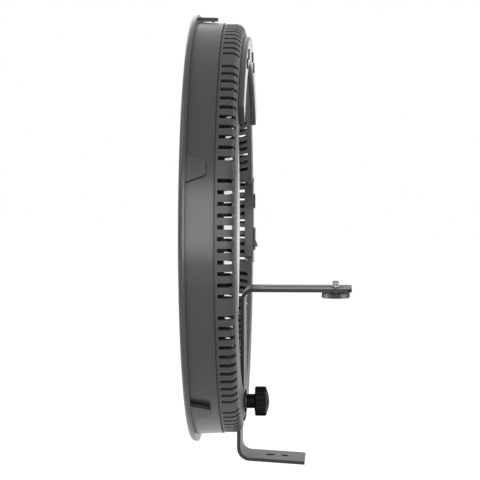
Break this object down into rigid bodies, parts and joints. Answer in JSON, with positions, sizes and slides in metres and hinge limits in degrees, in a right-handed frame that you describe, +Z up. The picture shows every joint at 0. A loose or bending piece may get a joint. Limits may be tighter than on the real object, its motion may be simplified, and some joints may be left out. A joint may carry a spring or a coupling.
{
  "type": "led ring light",
  "caption": "Ring light for a camera: slotted round housing with an opal front and a rear control panel, on a bent foot plate, with a sliding L bracket and camera screw.",
  "frame": {"origin": "middle of the stand hole, on the underside of the foot plate", "axes": "+Z up; the ring's axis runs along Y and its lit front faces -Y; the camera shelf reaches back along +Y; the power inlet is on the -X side"},
  "size_m": [0.3745, 0.1395, 0.3932],
  "materials": {
    "rim_plastic": "black, semi-gloss",
    "shell_plastic": "black, fine satin grain",
    "opal_plastic": "milky white, satin",
    "light_board": "white solder mask",
    "led_chip": "yellow phosphor",
    "zinc_steel": "zinc plated",
    "black_screw": "black oxide",
    "panel_film": "black, gloss",
    "smoked_window": "dark, clear gloss",
    "circuit_board": "green solder mask",
    "component": "black moulded parts",
    "button_rubber": "dark grey, matte",
    "rocker_plastic": "black, gloss",
    "socket": "black with a steel pin",
    "bracket_steel": "black powder coat",
    "plated_steel": "nickel plated",
    "knob_plastic": "black, matte",
    "dial_metal": "black, knurled"
  },
  "bodies": {
    "ring": {"bezel_ring": "rim_plastic", "diffuser": "opal_plastic", "front_housing": "shell_plastic", "led_board": "light_board", "led_chips": "led_chip", "board_screws": "zinc_steel", "rear_cover": "shell_plastic", "case_screws": "black_screw", "panel_housing": "shell_plastic", "panel_overlay": "panel_film", "display_window": "smoked_window", "display_module": "component", "control_board": "circuit_board", "panel_screws": "zinc_steel", "key_switches": "component", "inlet_housing": "shell_plastic", "rocker_frame": "rocker_plastic", "dc_socket": "socket", "driver_board": "circuit_board", "driver_parts": "component", "driver_screws": "zinc_steel", "foot_bracket": "bracket_steel", "foot_screws": "black_screw", "backing_plate": "zinc_steel", "clamp_stud": "plated_steel"},
    "camera_bracket": {"camera_bracket": "bracket_steel"},
    "clamp_knob": {"clamp_washer": "plated_steel", "clamp_knob": "knob_plastic"},
    "screw_carriage": {"screw_washer": "plated_steel"},
    "camera_screw": {"camera_screw": "plated_steel", "camera_screw_dial": "dial_metal"},
    "power_button": {"power_button": "button_rubber"},
    "mode_button": {"mode_button": "button_rubber"},
    "dimmer_down_button": {"dimmer_down_button": "button_rubber"},
    "dimmer_up_button": {"dimmer_up_button": "button_rubber"},
    "power_rocker": {"power_rocker": "rocker_plastic"}
  },
  "joints": [
    {"name": "bracket_height", "type": "slide", "parent": "ring", "child": "camera_bracket", "axis": [0, 0, 1], "range_m": [-0.025, 0.0035]},
    {"name": "clamp_knob_turn", "type": "hinge", "parent": "ring", "child": "clamp_knob", "pos_m": [0, -0.0138, 0.0506], "axis": [0, 1, 0], "continuous": true},
    {"name": "camera_screw_shift", "type": "slide", "parent": "camera_bracket", "child": "screw_carriage", "axis": [0, 1, 0], "range_m": [-0.06, 0.005]},
    {"name": "camera_screw_turn", "type": "hinge", "parent": "screw_carriage", "child": "camera_screw", "pos_m": [0, 0.0574, 0.1454], "axis": [0, 0, 1], "continuous": true},
    {"name": "power_button_press", "type": "slide", "parent": "ring", "child": "power_button", "axis": [0, -1, 0], "range_m": [0, 0.0008], "stiffness_N_per_m": 800, "springref_m": -0.0003},
    {"name": "mode_button_press", "type": "slide", "parent": "ring", "child": "mode_button", "axis": [0, -1, 0], "range_m": [0, 0.0008], "stiffness_N_per_m": 800, "springref_m": -0.0003},
    {"name": "dimmer_down_button_press", "type": "slide", "parent": "ring", "child": "dimmer_down_button", "axis": [0, -1, 0], "range_m": [0, 0.0008], "stiffness_N_per_m": 800, "springref_m": -0.0003},
    {"name": "dimmer_up_button_press", "type": "slide", "parent": "ring", "child": "dimmer_up_button", "axis": [0, -1, 0], "range_m": [0, 0.0008], "stiffness_N_per_m": 800, "springref_m": -0.0003},
    {"name": "power_rocker_tilt", "type": "hinge", "parent": "ring", "child": "power_rocker", "pos_m": [-0.15202, -0.0214, 0.18668], "axis": [1, 0, 0], "range_deg": [-16, 0]}
  ]
}
